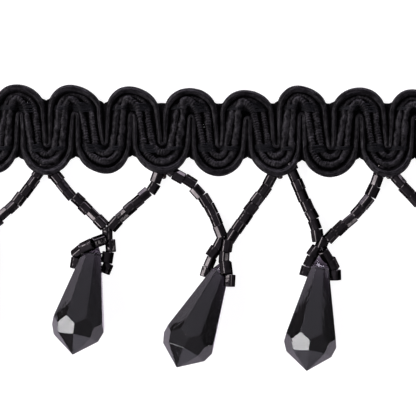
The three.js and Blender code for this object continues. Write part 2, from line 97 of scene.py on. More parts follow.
# Every bead of a half swag, from its scallop to its drop: place, direction of its
# bore (turn from +x and rise, in degrees) and turn about its bore. The first half
# of a swag ends on the right side of the drop, and the second on the left.
BEADS = {
    (0, "left"): [
        (-48.75, 11, 0.84, -65, 0, 22), (-48, 9.38, 0.84, -67, 0, 47), (-47.36, 7.71, 0.84, -67, 0, 42),
        (-46.6, 6.1, 0.84, -60, 0, 55), (-45.59, 4.62, 0.84, -53, 0, 47),
        (-44.46, 3.24, 0.84, -48, 0, 35), (-43.22, 1.96, 0.84, -44, 0, 4),
        (-41.9, 0.75, 0.84, -43, 0, 45), (-40.05, -1.55, 1, -72, -3, 2),
        (-39.45, -3.4, 0.9, -77, -2, 38), (-39.15, -5.35, 0.84, -88, -1, 47),
        (-39.3, -7.25, 0.84, -95, 0, 0)],
    (0, "right"): [
        (-30.19, 10.9, 0.84, -124, 0, 0), (-31.06, 9.59, 0.84, -125, 0, 45),
        (-32.2, 8.02, 0.84, -126, 0, 23), (-33.25, 6.53, 0.84, -126, 0, 47),
        (-34.39, 4.95, 0.84, -130, 0, 43), (-35.7, 3.64, 0.84, -137, 0, 24),
        (-37.19, 2.33, 0.84, -139, 0, 33), (-38.5, 1.19, 0.84, -142, 0, 56),
        (-39.9, 0.23, 0.84, -145, 0, 46), (-42, -2, 0.9, -132, -2, 53),
        (-43.25, -3.4, 0.84, -124, -1, 5), (-44.1, -5.1, 0.84, -113, 0, 37),
        (-44.75, -6.85, 0.84, -110, 0, 47)],
    (1, "left"): [
        (-28.96, 10.12, 0.84, -53, 0, 2), (-27.91, 8.72, 0.84, -52, 0, 53),
        (-26.78, 7.32, 0.84, -49, 0, 38), (-25.64, 6.09, 0.84, -45, 0, 1),
        (-24.24, 4.78, 0.84, -42, 0, 58), (-22.84, 3.55, 0.84, -42, 0, 2),
        (-21.52, 2.36, 0.84, -44, 0, 33), (-20.25, 1.05, 0.84, -46, 0, 53),
        (-19.02, -0.94, 0.95, -90, 0, 38), (-18.51, -3.22, 0.95, -86, -1, 31),
        (-19.02, -5.25, 0.9, -100, -1, 46), (-19.2, -7.09, 0.9, -112, 0, 43)],
    (1, "right"): [
        (-9.71, 10.64, 0.84, -107, 0, 46), (-10.27, 8.8, 0.84, -111, 0, 35),
        (-11.11, 7.05, 0.84, -126, 0, 46), (-12.48, 5.74, 0.84, -139, 0, 19),
        (-13.82, 4.69, 0.84, -141, 0, 52), (-15.14, 3.55, 0.84, -137, 0, 45),
        (-16.45, 2.24, 0.84, -134, 0, 33), (-17.8, 0.84, 0.84, -134, 0, 45),
        (-20.6, -2.41, 2.15, -158, 23, 12), (-22.36, -3.24, 2.98, -154, -18, 10),
        (-24.08, -4.27, 0.9, -139, -30, 10), (-24.46, -6.23, 0.84, -98, -2, 47)],
    (2, "left"): [
        (-8.14, 10.12, 0.84, -34, 0, 44), (-6.56, 9.07, 0.84, -31, 0, 43),
        (-4.67, 8.02, 0.84, -38, 0, 0), (-3.15, 6.35, 0.84, -50, 0, 27),
        (-1.96, 4.78, 0.84, -56, 0, 52), (-0.96, 3.12, 0.84, -62, 0, 5),
        (-0.18, 1.37, 0.84, -65, 0, 52), (0.75, -0.56, 0.84, -64, 0, 34), (1.8, -3.18, 2, -100, -7, 57),
        (1.45, -5.07, 1.78, -93, 13, 26), (1.8, -7.09, 2.88, -85, 18, 11),
        (2.35, -9.34, 3.17, -90, 7, 37)],
    (2, "right"): [
        (10.5, 10.03, 0.84, -118, 0, 43), (9.54, 8.19, 0.84, -120, 0, 51),
        (8.49, 6.53, 0.84, -124, 0, 1), (7.35, 4.95, 0.84, -127, 0, 39),
        (6.18, 3.41, 0.84, -127, 0, 59), (5.04, 1.84, 0.84, -125, 0, 44),
        (3.94, 0.26, 0.84, -124, 0, 41), (2.85, -1.4, 0.84, -123, 0, 23),
        (0.75, -2.83, 0.86, -118, -1, 41), (-0.47, -4.32, 0.84, -122, 0, 2),
        (-1.08, -6.12, 0.84, -114, 0, 34), (-1.75, -7.73, 0.84, -106, 0, 30)],
    (3, "left"): [
        (13.12, 10.9, 0.84, -70, 0, 22), (13.74, 9.24, 0.84, -68, 0, 45),
        (14.49, 7.49, 0.84, -67, 0, 51), (15.22, 5.65, 0.84, -69, 0, 45),
        (15.89, 3.9, 0.84, -67, 0, 57), (16.68, 2.19, 0.84, -65, 0, 44),
        (17.46, 0.58, 0.84, -73, 0, 46), (17.71, -1.22, 0.84, -82, 0, 9),
        (19.13, -4.72, 2.1, -57, -28, 24), (20.35, -6.48, 0.95, -66, -17, 53),
        (20.82, -8.26, 0.9, -84, -2, 43)],
    (3, "right"): [
        (28.79, 10.03, 0.84, -106, 0, 57), (28.26, 8.19, 0.84, -110, 0, 33),
        (27.48, 6.48, 0.84, -118, 0, 10), (26.34, 4.55, 0.84, -125, 0, 19),
        (24.94, 2.8, 0.84, -133, 0, 51), (23.42, 1.37, 0.84, -138, 0, 31),
        (21.79, -0.03, 0.84, -137, 0, 4), (20.3, -1.52, 0.84, -135, 0, 51),
        (18.55, -2.69, 0.9, -117, -2, 10), (17.15, -4.23, 0.84, -121, -1, 10),
        (16.45, -6.04, 0.84, -112, 0, 1), (15.78, -7.59, 0.84, -106, 0, 47)],
    (4, "left"): [
        (30.71, 9.94, 0.84, -50, 0, 38), (32.02, 8.37, 0.84, -50, 0, 42),
        (33.51, 6.65, 0.84, -48, 0, 56), (35, 5.04, 0.84, -48, 0, 10), (36.31, 3.55, 0.84, -50, 0, 1),
        (37.45, 2.15, 0.84, -52, 0, 40), (38.5, 0.75, 0.84, -53, 0, 34), (40.75, -2, 1, -62, -5, 10),
        (41.6, -3.6, 0.84, -64, -2, 19), (42.35, -5.3, 0.84, -74, 0, 28),
        (42.6, -7.1, 0.84, -82, 0, 43)],
    (4, "right"): [
        (49.6, 11, 0.84, -123, 0, 37), (48.54, 9.37, 0.84, -124, 0, 25),
        (47.43, 7.78, 0.84, -127, 0, 42), (46.21, 6.27, 0.84, -132, 0, 43),
        (44.84, 4.89, 0.84, -135, 0, 10), (43.44, 3.55, 0.84, -135, 0, 21),
        (42.1, 2.14, 0.84, -133, 0, 36), (40.8, 0.7, 0.84, -132, 0, 30),
        (38.5, -2.1, 0.9, -114, -2, 28), (37.75, -3.75, 0.84, -109, -1, 16),
        (37.35, -5.5, 0.84, -99, 0, 46), (37.2, -7.3, 0.84, -95, 0, 10)],
}

# ------------------------------------------------------------------ camera

LENS = 260                       # far off, as a product photograph is taken
camera_data = bpy.data.cameras.new("camera")
camera_data.lens = LENS
camera_data.sensor_width = 36
camera = bpy.data.objects.new("camera", camera_data)
bpy.context.scene.collection.objects.link(camera)
bpy.context.scene.camera = camera
FIELD = 72.8                     # millimetres across the picture, at the cords' height
camera.location = (-1.4 * MM, 3.465 * MM, (1.5 + FIELD * LENS / 36) * MM)
camera.rotation_euler = (0, 0, 0)
camera_data.clip_start, camera_data.clip_end = 0.01, 20

# ------------------------------------------------------------------ mesh code


class Pile:
    """Gathers vertices and faces, and makes them one mesh object."""

    def __init__(self):
        self.verts, self.faces, self.uvs, self.mats, self.smooth = [], [], [], [], []
        self.count = 0

    def add(self, verts, faces, uv=None, mat=0, smooth=True):
        """verts (n, 3) in millimetres, faces (m, k), uv (m, k, 2) for each corner."""
        faces = np.asarray(faces, np.int64)
        self.verts.append(np.asarray(verts, float))
        self.faces.append(faces + self.count)
        self.uvs.append(np.zeros((*faces.shape, 2)) if uv is None else np.asarray(uv, float))
        self.mats.append(np.full(len(faces), mat))
        self.smooth.append(np.full(len(faces), smooth))
        self.count += len(verts)

    def build(self, name, materials):
        mesh = bpy.data.meshes.new(name)
        verts = np.concatenate(self.verts) * MM
        sizes = np.concatenate([np.full(len(f), f.shape[1]) for f in self.faces])
        corners = np.concatenate([f.ravel() for f in self.faces])
        mesh.vertices.add(len(verts))
        mesh.vertices.foreach_set("co", verts.astype(np.float32).ravel())
        mesh.loops.add(len(corners))
        mesh.loops.foreach_set("vertex_index", corners.astype(np.int32))
        mesh.polygons.add(len(sizes))
        mesh.polygons.foreach_set("loop_start", (np.cumsum(sizes) - sizes).astype(np.int32))
        mesh.update(calc_edges=True)
        mesh.polygons.foreach_set("material_index", np.concatenate(self.mats).astype(np.int32))
        mesh.polygons.foreach_set("use_smooth", np.concatenate(self.smooth))
        layer = mesh.uv_layers.new(name="lay", do_init=False)
        layer.uv.foreach_set(
            "vector", np.concatenate([u.reshape(-1, 2) for u in self.uvs]).astype(np.float32).ravel())
        for material in materials:
            mesh.materials.append(material)
        mesh.validate()
        made = bpy.data.objects.new(name, mesh)
        bpy.context.scene.collection.objects.link(made)
        return made


def unit(v):
    return v / np.maximum(np.linalg.norm(v, axis=-1, keepdims=True), 1e-12)


def smoothstep(t):
    t = np.clip(t, 0, 1)
    return t * t * (3 - 2 * t)


def arc_lengths(points):
    return np.concatenate([[0], np.cumsum(np.linalg.norm(np.diff(points, axis=0), axis=1))])


def blurred(values, sigma):
    """Gaussian smoothing along the first axis, in samples, with ends held."""
    if sigma <= 0:
        return values
    reach = int(3 * sigma) + 1
    k = np.exp(-0.5 * (np.arange(-reach, reach + 1) / sigma) ** 2)
    k /= k.sum()
    flat = values.reshape(len(values), -1)
    first, last = flat[:1], flat[-1:]
    before = 2 * first - flat[1:reach + 1][::-1]
    after = 2 * last - flat[-reach - 1:-1][::-1]
    padded = np.concatenate([before, flat, after])
    out = np.stack([np.convolve(padded[:, c], k, "valid") for c in range(flat.shape[1])], 1)
    return out.reshape(values.shape)


def wander(rng, n, step, length):
    """Smooth noise of unit size along n samples, changing over the given length."""
    raw = rng.standard_normal(n + 8)
    out = blurred(raw, max(length / step, 1.0))[4:4 + n]
    return out / (out.std() + 1e-9)


def resampled(track, step):
    """track (n, k), whose first three columns are a place, evenly spaced anew."""
    s = arc_lengths(track[:, :3])
    count = max(2, int(round(s[-1] / step)) + 1)
    at = np.linspace(0, s[-1], count)
    return np.stack([np.interp(at, s, track[:, c]) for c in range(track.shape[1])], 1), at


def frames(points):
    """Tangent, sideways and upward directions for a path that never stands upright."""
    tangent = unit(np.gradient(points, axis=0))
    side = unit(np.stack([tangent[:, 1], -tangent[:, 0], np.zeros(len(points))], 1))
    return tangent, side, np.cross(side, tangent)


def tube(pile, points, half_w, half_h, sides, shape=None, mat=0, along=None, caps=True,
         round_caps=0.0, spread=None):
    """Sweeps an ellipse along points. shape (n, sides) scales the radius, and
    spread (n, 2) is how far its underside is pressed out to the right and left."""
    points = np.asarray(points, float)
    n = len(points)
    tangent, side, up = frames(points)
    turn = np.arange(sides) / sides * TAU
    half_w = np.broadcast_to(half_w, (n,))[:, None, None]
    half_h = np.broadcast_to(half_h, (n,))[:, None, None]
    ring = side[:, None, :] * np.cos(turn)[None, :, None] * half_w \
        + up[:, None, :] * np.sin(turn)[None, :, None] * half_h
    if shape is not None:
        ring = ring * shape[:, :, None]
    if spread is not None:
        low = smoothstep((-0.1 - np.sin(turn)) / 0.45) * np.abs(np.cos(turn)) ** 0.4
        push = np.where(np.cos(turn) > 0, spread[:, :1], -spread[:, 1:]) * low
        ring = ring + side[:, None, :] * push[:, :, None]
    verts = (points[:, None, :] + ring).reshape(-1, 3)
    verts[:, 2] = np.maximum(verts[:, 2], 0.015)     # nothing soft goes into the table
    i, j = np.meshgrid(np.arange(n - 1), np.arange(sides), indexing="ij")
    k = (j + 1) % sides
    quads = np.stack([i * sides + j, (i + 1) * sides + j, (i + 1) * sides + k, i * sides + k],
                     -1).reshape(-1, 4)
    s = arc_lengths(points) if along is None else along
    u0, u1, v0, v1 = s[i], s[i + 1], j / sides, (j + 1) / sides
    uv = np.stack([np.stack([u0, v0], -1), np.stack([u1, v0], -1),
                   np.stack([u1, v1], -1), np.stack([u0, v1], -1)], -2).reshape(-1, 4, 2)
    pile.add(verts, quads, uv, mat)
    if caps:
        for end, at, sign in ((0, 0, -1), (n - 1, (n - 1) * sides, 1)):
            base = verts[at:at + sides]
            rings = [base, points[end] + (base - points[end]) * 0.72 + tangent[end] * sign * round_caps,
                     points[end] + (base - points[end]) * 0.3 + tangent[end] * sign * round_caps * 1.3]
            cap = np.concatenate(rings + [points[end:end + 1] + tangent[end] * sign * round_caps * 1.35])
            a, b = np.arange(sides), (np.arange(sides) + 1) % sides
            faces = []
            for r in range(2):
                quad = np.stack([r * sides + a, r * sides + b, (r + 1) * sides + b, (r + 1) * sides + a], 1)
                faces.append(quad if sign > 0 else quad[:, ::-1])
            tri = np.stack([2 * sides + a, 2 * sides + b, np.full(sides, 3 * sides)], 1)
            tri = tri if sign > 0 else tri[:, ::-1]
            # the cap shares no vertex with the tube, so its rim shades sharply
            for quad in faces:
                pile.add(cap, quad, None, mat)
            pile.add(cap, tri, None, mat)


def catmull(points, steps=40):
    """The centripetal curve that the CAD part uses, as evenly numbered samples."""
    p = [np.array([*q, 0.0][:3], float) for q in points]
    ghost = [2 * p[0] - p[1]] + p + [2 * p[-1] - p[-2]]
    out = []
    for i in range(len(p) - 1):
        a, b, c, d = ghost[i:i + 4]
        t0 = max(np.dot(b - a, b - a) ** 0.25, 1e-4)
        t1 = max(np.dot(c - b, c - b) ** 0.25, 1e-4)
        t2 = max(np.dot(d - c, d - c) ** 0.25, 1e-4)
        m1 = ((b - a) / t0 - (c - a) / (t0 + t1) + (c - b) / t1) * t1
        m2 = ((c - b) / t1 - (d - b) / (t1 + t2) + (d - c) / t2) * t1
        for t in np.linspace(0, 1, steps, endpoint=False):
            out.append(b + m1 * t + (-3 * b + 3 * c - 2 * m1 - m2) * t ** 2
                       + (2 * b - 2 * c + m1 + m2) * t ** 3)
    out.append(p[-1])
    return np.array(out)


def finished(piece, slot, *nodes):
    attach(piece, "root")
    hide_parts(*nodes)
    return piece


# ------------------------------------------------------------------ materials


class Graph:
    """Short names for wiring a node tree."""

    def __init__(self, tree):
        self.tree = tree

    def node(self, kind, **settings):
        made = self.tree.nodes.new(kind)
        for key, value in settings.items():
            setattr(made, key, value)
        return made

    def feed(self, socket, value):
        if isinstance(value, bpy.types.NodeSocket):
            self.tree.links.new(value, socket)
        else:
            socket.default_value = value

    def calc(self, operation, a, b=0.0, clamp=False):
        made = self.node("ShaderNodeMath", operation=operation, use_clamp=clamp)
        self.feed(made.inputs[0], a)
        self.feed(made.inputs[1], b)
        return made.outputs[0]

    def lay(self):
        """Millimetres along the thread or cord, and turns around it."""
        made = self.node("ShaderNodeSeparateXYZ")
        self.feed(made.inputs[0], self.node("ShaderNodeUVMap", uv_map="lay").outputs["UV"])
        return made.outputs["X"], made.outputs["Y"]

    def place(self):
        return self.node("ShaderNodeTexCoord").outputs["Object"]

    def noise(self, vector, scale, detail=2.0, roughness=0.5):
        made = self.node("ShaderNodeTexNoise")
        self.feed(made.inputs["Vector"], vector)
        made.inputs["Scale"].default_value = scale
        made.inputs["Detail"].default_value = detail
        made.inputs["Roughness"].default_value = roughness
        return made.outputs["Fac"]

    def remap(self, value, low, high, to_low, to_high):
        made = self.node("ShaderNodeMapRange", clamp=True)
        self.feed(made.inputs["Value"], value)
        for name, x in (("From Min", low), ("From Max", high), ("To Min", to_low), ("To Max", to_high)):
            made.inputs[name].default_value = x
        return made.outputs["Result"]

    def tint(self, share, a, b):
        made = self.node("ShaderNodeMix", data_type="RGBA")
        self.feed(made.inputs[0], share)
        self.feed(made.inputs[6], a)
        self.feed(made.inputs[7], b)
        return made.outputs[2]

    def bump(self, height, distance, strength=1.0, normal=None):
        made = self.node("ShaderNodeBump")
        made.inputs["Strength"].default_value = strength
        made.inputs["Distance"].default_value = distance
        self.feed(made.inputs["Height"], height)
        if normal is not None:
            self.feed(made.inputs["Normal"], normal)
        return made.outputs["Normal"]


def shader(name):
    material = bpy.data.materials.new(name)
    material.use_nodes = True
    tree = material.node_tree
    tree.nodes.clear()
    g = Graph(tree)
    out = g.node("ShaderNodeOutputMaterial")
    principled = g.node("ShaderNodeBsdfPrincipled")
    tree.links.new(principled.outputs["BSDF"], out.inputs["Surface"])
    return material, g, principled, out


def rgb(r, g, b):
    return (r, g, b, 1.0)


def gimp_material(name, dark, light, rough, specular, streaks, relief):
    """Black rayon: soft gleam, streaked along the cord, dusty and uneven, with painted shade: its sides and
    underside are painted darker than its top.
    """
    material, g, p, _ = shader(name)
    along, around = g.lay()
    spot = g.place()
    lay = g.node("ShaderNodeCombineXYZ")
    g.feed(lay.inputs["X"], g.calc("MULTIPLY", along, 0.8))
    g.feed(lay.inputs["Y"], g.calc("MULTIPLY", around, streaks))
    strands = g.noise(lay.outputs["Vector"], 1.0, 3, 0.6)
    fade = g.noise(spot, 420, 3, 0.6)
    mottle = g.noise(spot, 1500, 2, 0.6)
    fine = g.noise(spot, 4600, 3, 0.7)
    tone = g.calc("ADD", g.calc("ADD", g.calc("MULTIPLY", strands, 0.3), g.calc("MULTIPLY", mottle, 0.25)),
                  g.calc("ADD", g.calc("MULTIPLY", fade, 0.22), g.calc("MULTIPLY", fine, 0.23)))
    tone = g.remap(tone, 0.43, 0.585, 0.0, 1.0)
    # painted shade: the pressed underside and the sides are painted darker, duller and less glossy than the
    # top
    painted_top_light = g.remap(g.calc("SINE", g.calc("MULTIPLY", around, TAU)), -0.1, 0.75, 0.0, 1.0)
    g.feed(p.inputs["Base Color"], g.tint(g.calc("MULTIPLY", tone, painted_top_light), rgb(*dark), rgb(*light)))
    g.feed(p.inputs["Roughness"], g.calc("ADD", g.remap(fine, 0.3, 0.7, rough - 0.07, rough + 0.13),
                                         g.remap(painted_top_light, 0.0, 1.0, 0.3, 0.0)))
    gleam = g.calc("MULTIPLY", g.remap(painted_top_light, 0.0, 1.0, 0.3, 1.15), g.remap(tone, 0.0, 1.0, 0.42, 1.5))
    g.feed(p.inputs["Specular IOR Level"], g.calc("MULTIPLY", gleam, specular))
    normal = g.bump(strands, relief * MM, 0.9)
    normal = g.bump(mottle, 0.14 * MM, 0.75, normal)
    normal = g.bump(fine, 0.05 * MM, 0.85, normal)
    g.feed(p.inputs["Normal"], normal)
    return material


def thread_material(name, pitch, depth, dark, light, rough, specular):
    """Fine twisted thread, with painted shade in the grooves between its plies."""
    material, g, p, _ = shader(name)
    along, around = g.lay()
    spot = g.place()
    phase = g.calc("ADD", g.calc("DIVIDE", along, pitch), around)
    twist = g.calc("ABSOLUTE", g.calc("SINE", g.calc("MULTIPLY", phase, math.pi)))
    fade = g.noise(spot, 420, 3, 0.6)
    fine = g.noise(spot, 5200, 2, 0.7)
    tone = g.remap(g.calc("ADD", g.calc("MULTIPLY", fade, 0.5), g.calc("MULTIPLY", fine, 0.5)),
                   0.36, 0.68, 0.0, 1.0)
    # painted shade: the grooves between the twisted plies are painted darker
    shade = g.calc("MULTIPLY", tone, g.remap(twist, 0.0, 0.8, 0.35, 1.0))
    g.feed(p.inputs["Base Color"], g.tint(shade, rgb(*dark), rgb(*light)))
    g.feed(p.inputs["Roughness"], g.remap(fine, 0.3, 0.7, rough - 0.08, rough + 0.12))
    p.inputs["Specular IOR Level"].default_value = specular
    g.feed(p.inputs["Normal"], g.bump(fine, 0.02 * MM, 0.6, g.bump(twist, depth * MM, 0.7)))
    return material


SMOOTH_CORD = gimp_material("gimp_smooth", (0.0006, 0.0005, 0.0007), (0.0060, 0.0052, 0.0065),
                            0.36, 0.145, 13.0, 0.09)
RIBBED_CORD = gimp_material("gimp_ribbed", (0.0006, 0.0005, 0.0007), (0.0084, 0.0073, 0.0088),
                            0.46, 0.165, 6.0, 0.09)
BINDING = thread_material("binding", 0.3, 0.02, (0.0010, 0.0011, 0.0014), (0.0050, 0.0057, 0.0076),
                          0.55, 0.12)
THREAD = thread_material("beading_thread", 0.22, 0.02, (0.004, 0.0036, 0.004), (0.016, 0.0135, 0.0145),
                         0.55, 0.25)
PALE_THREAD = thread_material("knot_thread", 0.22, 0.02, (0.02, 0.014, 0.013), (0.12, 0.085, 0.075),
                              0.6, 0.25)


def bead_material():
    """Jet black cut glass with a lustre: glossy, slightly uneven, finely scuffed,
    and no paler at its edges than on its face."""
    material, g, p, _ = shader("cut_bead_glass")
    spot = g.place()
    cloud = g.noise(spot, 700, 2, 0.5)
    fine = g.noise(spot, 4200, 3, 0.7)
    g.feed(p.inputs["Base Color"], g.tint(g.remap(cloud, 0.35, 0.65, 0, 1),
                                          rgb(0.0245, 0.0228, 0.0226), rgb(0.0385, 0.0357, 0.0350)))
    g.feed(p.inputs["Roughness"], g.remap(fine, 0.3, 0.75, 0.05, 0.14))
    p.inputs["Metallic"].default_value = 1.0
    p.inputs["Specular Tint"].default_value = rgb(0.25, 0.25, 0.25)
    g.feed(p.inputs["Normal"], g.bump(cloud, 0.12 * MM, 0.5, g.bump(fine, 0.005 * MM, 0.5)))
    return material


def drop_material():
    """Smoky black acrylic that passes a little lilac light where it is thin."""
    material, g, p, out = shader("drop_acrylic")
    spot = g.place()
    cloud = g.noise(spot, 260, 2, 0.5)
    fine = g.noise(spot, 3600, 3, 0.7)
    g.feed(p.inputs["Base Color"], g.tint(g.remap(cloud, 0.3, 0.7, 0, 1),
                                          rgb(0.84, 0.80, 0.86), rgb(0.95, 0.92, 0.96)))
    g.feed(p.inputs["Roughness"], g.remap(fine, 0.35, 0.75, 0.015, 0.06))
    p.inputs["IOR"].default_value = 1.49
    p.inputs["Transmission Weight"].default_value = 0.994
    p.inputs["Specular Tint"].default_value = rgb(0.96, 1.0, 0.97)
    hammered = g.noise(spot, 1100, 2, 0.5)
    normal = g.bump(hammered, 0.05 * MM, 0.4, g.bump(fine, 0.003 * MM, 0.4))
    g.feed(p.inputs["Normal"], g.bump(cloud, 0.04 * MM, 0.25, normal))
    smoke = g.node("ShaderNodeVolumeAbsorption")
    smoke.inputs["Color"].default_value = rgb(0.13, 0.09, 0.15)
    smoke.inputs["Density"].default_value = 1300.0
    g.tree.links.new(smoke.outputs["Volume"], out.inputs["Volume"])
    return material


BEAD_GLASS = bead_material()
DROP_ACRYLIC = drop_material()

# ------------------------------------------------------------------ the braid

# Places across a limb, as a share of its half width, at its upper and lower
# level. Going down the order is B D C A, and going up it is A C D B.
LANES = {
    "A": dict(down=(0.74, 0.98), up=(-0.66, -0.70)),
    "C": dict(down=(0.16, 0.47), up=(0.0, -0.32)),
    "D": dict(down=(-0.48, -0.10), up=(0.40, 0.20)),
    "B": dict(down=(-0.80, -0.72), up=(0.97, 0.80)),
}
CORDS = {
    "A": dict(node="gimp_cord_upper", crest=0.57, crest_centred=0.0, scallop=5.15,
              scallop_centred=1.0, hairpin="scallop", ribbed=False),
    "C": dict(node="gimp_cord_inner_upper", crest=1.66, crest_centred=0.3, scallop=3.55,
              scallop_centred=1.0, hairpin=None, ribbed=True),
    "D": dict(node="gimp_cord_inner_lower", crest=2.33, crest_centred=0.15, scallop=2.1,
              scallop_centred=0.7, hairpin=None, ribbed=True, crest_point=1.35),
    "B": dict(node="gimp_cord_lower", crest=4.85, crest_centred=1.0, scallop=0.57,
              scallop_centred=0.3, hairpin="crest", ribbed=False),
}
# Centre height, half width and half height of a cord at its crest turn, along a
# limb, and at its scallop turn.
BODY = {
    "A": dict(crest=(1.15, 0.58, 0.55), limb=(1.02, 0.47, 0.56), scallop=(0.92, 0.42, 0.52)),
    "C": dict(crest=(0.62, 0.50, 0.46), limb=(1.15, 0.60, 0.60), scallop=(1.08, 0.56, 0.56)),
    "D": dict(crest=(1.26, 0.60, 0.56), limb=(1.15, 0.60, 0.60), scallop=(1.20, 0.58, 0.58)),
    "B": dict(crest=(0.88, 0.42, 0.50), limb=(1.02, 0.47, 0.56), scallop=(1.15, 0.58, 0.55)),
}
# Turns that lie unevenly: cord, crest or scallop, its number, and how much
# deeper, further right, higher and wider it lies there.
UNEVEN = {
    ("D", "crest", 2): (0.05, 0.1, 0.05, 1.05), ("D", "crest", 3): (0.0, 0.05, 0.0, 1.0),
    ("D", "crest", 4): (-0.1, -0.1, 0.1, 1.1), ("D", "crest", 5): (-0.1, -0.95, 0.35, 1.32),
    ("D", "crest", 6): (-0.3, -0.55, 0.15, 1.25), ("D", "crest", 7): (0.0, 0.0, 0.1, 1.05),
    ("D", "crest", 8): (0.1, -0.1, 0.1, 1.1), ("D", "crest", 9): (0.2, 0.0, 0.1, 1.2),
    ("C", "crest", 5): (0.3, 0.5, 0.1, 1.1), ("C", "crest", 8): (0.1, 0.0, 0.1, 1.0),
    ("A", "crest", 5): (0.0, 0.0, -0.1, 1.12), ("A", "crest", 8): (0.0, 0.1, 0.0, 1.06),
    ("D", "scallop", 3): (0.1, 0.0, 0.0, 1.1), ("D", "scallop", 4): (-0.15, -0.1, 0.1, 1.1),
    ("C", "scallop", 4): (0.1, 0.3, 0.1, 1.15), ("C", "scallop", 2): (-0.1, 0.2, 0.1, 1.1),
    ("D", "scallop", 6): (-0.1, 0.2, 0.0, 1.05), ("C", "scallop", 6): (0.0, -0.3, 0.15, 1.1),
    ("B", "scallop", 5): (0.0, 0.1, 0.0, 1.08), ("D", "scallop", 7): (0.1, 0.0, 0.0, 1.0),
}
HAIRPIN = 0.43                   # smallest half spacing of a hairpin's legs

LIMBS = []
for i, scallop in enumerate(SCALLOPS):
    LIMBS.append([(CRESTS[i][0] + scallop[0]) / 2, True])
    LIMBS.append([(scallop[0] + CRESTS[i + 1][0]) / 2, False])
HALVES = []
for j, (middle, down) in enumerate(LIMBS):
    before = LIMBS[j - 1][0] if j else None
    after = LIMBS[j + 1][0] if j + 1 < len(LIMBS) else None
    left = (middle - before) / 2 if before is not None else (after - middle) / 2
    right = (after - middle) / 2 if after is not None else left
    HALVES.append((left, right))


def lane_place(limb, cord, upper):
    middle, down = LIMBS[limb]
    share = LANES[cord]["down" if down else "up"][0 if upper else 1]
    return middle + share * (HALVES[limb][0] if share < 0 else HALVES[limb][1])


def cord_track(cord):
    """Place, half width and half height along a cord, and how far it is in a turn."""
    facts, body = CORDS[cord], BODY[cord]
    rows = []

    def turn(xa, xb, row, upper, number, part="both"):
        at, edge = row[0], row[1]
        depth = facts["crest" if upper else "scallop"]
        centred = facts["crest_centred" if upper else "scallop_centred"]
        sign = -1 if upper else 1
        apex = edge + sign * depth
        if facts["hairpin"] == ("crest" if upper else "scallop"):
            middle, half = (xa + xb) / 2, max((xb - xa) / 2, HAIRPIN)
            xa, xb = middle - half, middle + half
            base = apex + sign * half
        else:
            base = edge + sign * (CREST_DEPTH if upper else SCALLOP_DEPTH)
        top = at + ((xa + xb) / 2 - at) * centred
        z, w, h = body["crest" if upper else "scallop"]
        deeper, right, higher, wider = UNEVEN.get((cord, "crest" if upper else "scallop", number),
                                                  (0, 0, 0, 1))
        apex, top, z, w, h = apex + sign * deeper, top + right, z + higher, w * wider, h * wider
        lz, lw, lh = body["limb"]
        steps = 40
        for side, start in (("first", xa), ("second", xb)):
            if part not in ("both", side):
                continue
            t = np.linspace(0, 1, steps)
            a = t * math.pi / 2 if side == "first" else (1 - t) * math.pi / 2
            x = top + (start - top) * np.cos(a) ** facts.get("crest_point" if upper else "none", 1.0)
            y = base + (apex - base) * np.sin(a)
            k = smoothstep(np.sin(a) * 1.15)
            zz = lz + (z - lz) * k
            if not upper and row[2]:
                zz = zz + SCALLOP_LIFT * smoothstep((LIFT_STARTS - y) / (LIFT_STARTS - LIFT_FULL))
            rows.append(np.stack([x, y, zz, lw + (w - lw) * k, lh + (h - lh) * k, k * sign], 1))
        return (xa, xb, base)

    legs = [[lane_place(j, cord, True), lane_place(j, cord, False)] if LIMBS[j][1]
            else [lane_place(j, cord, False), lane_place(j, cord, True)] for j in range(len(LIMBS))]
    foot = legs[0][0]
    turn(2 * CRESTS[0][0] - foot, foot, CRESTS[0], True, 0, "second")
    for i, scallop in enumerate(SCALLOPS):
        last = i == len(SCALLOPS) - 1
        turn(legs[2 * i][1], legs[2 * i + 1][0], scallop, False, i)
        crest = CRESTS[i + 1]
        top = legs[2 * i + 1][1]
        far = 2 * crest[0] - top if last else legs[2 * i + 2][0]
        turn(top, far, crest, True, i + 1, "first" if last else "both")
    track = np.concatenate(rows)
    keep = np.concatenate([[True], np.linalg.norm(np.diff(track[:, :2], axis=0), axis=1) > 1e-6])
    track, _ = resampled(track[keep], 0.05)
    track[:, :2] = blurred(track[:, :2], 5)
    track[:, 2:5] = blurred(track[:, 2:5], 14)
    # the bound rows draw the cords in a little
    for row in (UPPER_ROW, LOWER_ROW):
        near = np.exp(-((track[:, 1] - row) / 0.75) ** 2)
        track[:, 3] *= 1 - 0.07 * near
        track[:, 4] *= 1 - 0.10 * near
        track[:, 2] -= 0.08 * near
    return track


def pressed_out(cord, points, w):
    """How far a cord's underside spreads to each side until it meets its neighbour."""
    _, side, _ = frames(points)
    own = arc_lengths(points)
    out = np.zeros((len(points), 2))
    every = max(1, int(0.3 / (own[1] - own[0])))
    for column, sign in ((0, 1.0), (1, -1.0)):
        for k in range(0, len(points), every):
            q = points[k] + side[k] * sign * (w[k] + 0.7)
            best = None
            for (x, y, z), index, distance in TREE.find_n((q[0], q[1], 0), 16):
                other, other_w, other_s = TREE_FACTS[index]
                if other == cord and abs(other_s - own[k]) < 2.5:
                    continue
                dx, dy = x - points[k, 0], y - points[k, 1]
                lateral = (dx * side[k, 0] + dy * side[k, 1]) * sign
                ahead = abs(-dx * side[k, 1] + dy * side[k, 0])
                if distance > 1.35 or lateral < 0.3 or ahead > 0.5:
                    continue
                gap = lateral - w[k] - other_w
                if best is None or gap < best:
                    best = gap
            if best is not None:
                out[k:k + every, column] = np.clip(best / 2 + 0.24 * w[k] + 0.22, 0, 1.3)
    smooth = 0.25 / (own[1] - own[0])
    return np.stack([blurred(out[:, c], smooth) for c in (0, 1)], 1)


